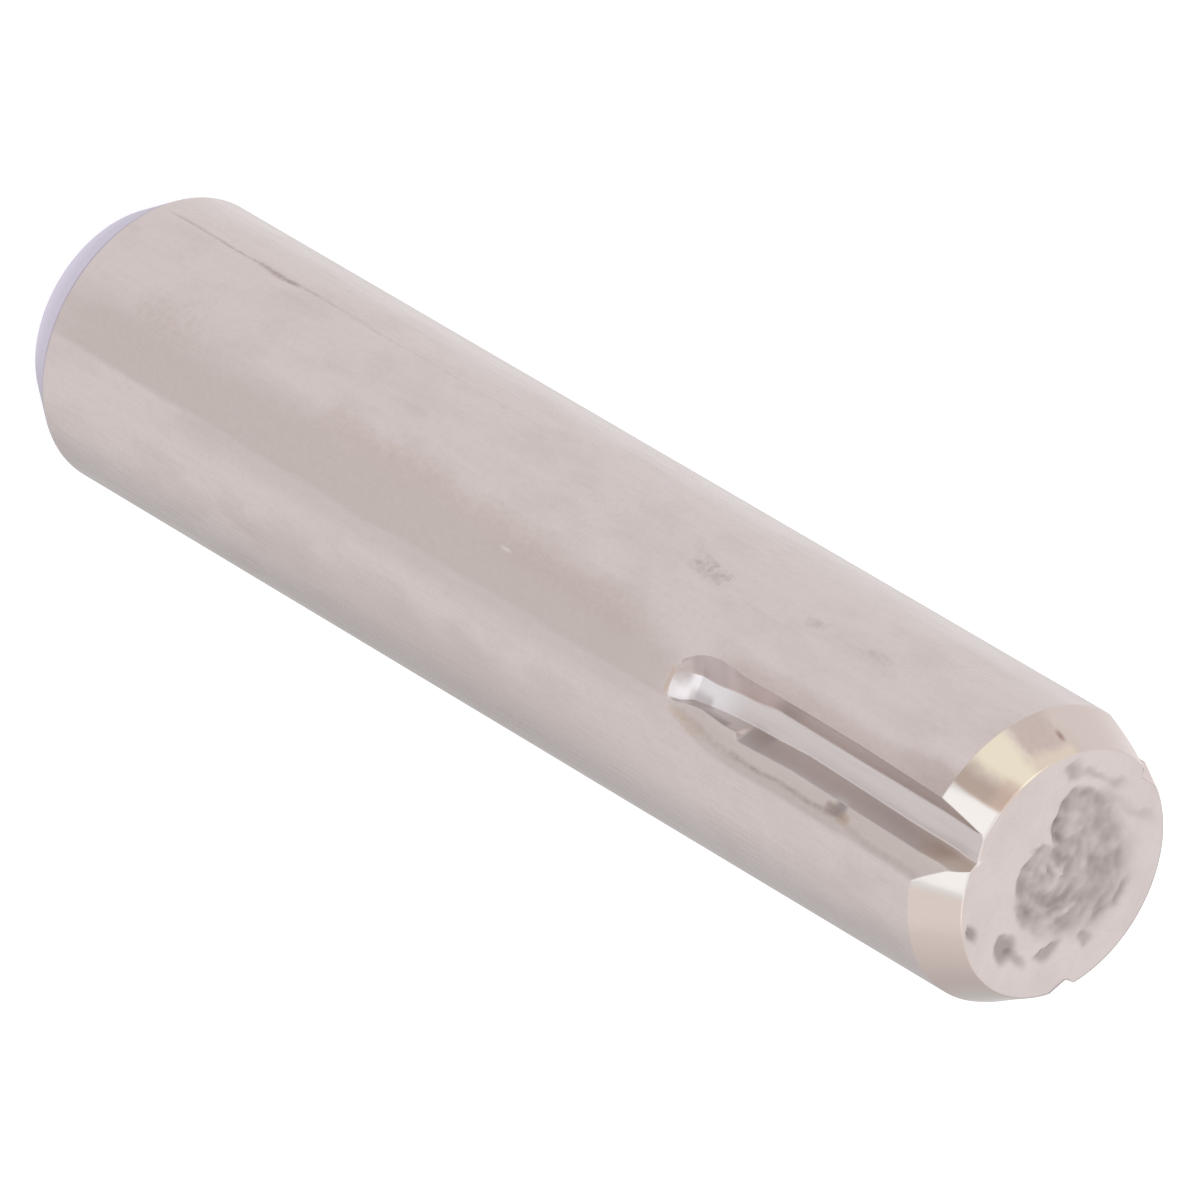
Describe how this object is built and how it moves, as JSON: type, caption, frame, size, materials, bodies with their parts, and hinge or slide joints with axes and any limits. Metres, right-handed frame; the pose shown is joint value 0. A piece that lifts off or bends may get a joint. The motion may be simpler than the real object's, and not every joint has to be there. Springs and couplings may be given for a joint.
{
  "type": "cam pin",
  "caption": "Solid steel pin with chamfered ends and lengthwise V grooves pressed into one end, which hold it in a drilled hole.",
  "frame": {"origin": "centre of the plain rear end face, on the pin's axis, with the pin standing on that face", "axes": "+Z along the pin's axis from the plain rear end to the grooved front end; the first groove faces -Y, and the other two are a third of a turn to each side"},
  "size_m": [0.0064, 0.0064, 0.0286],
  "materials": {
    "steel": "drawn and lightly plated steel, satin along the body, bright on the chamfers, rough where the end was cropped"
  },
  "bodies": {
    "root": {"cam_pin": "steel"}
  },
  "joints": []
}
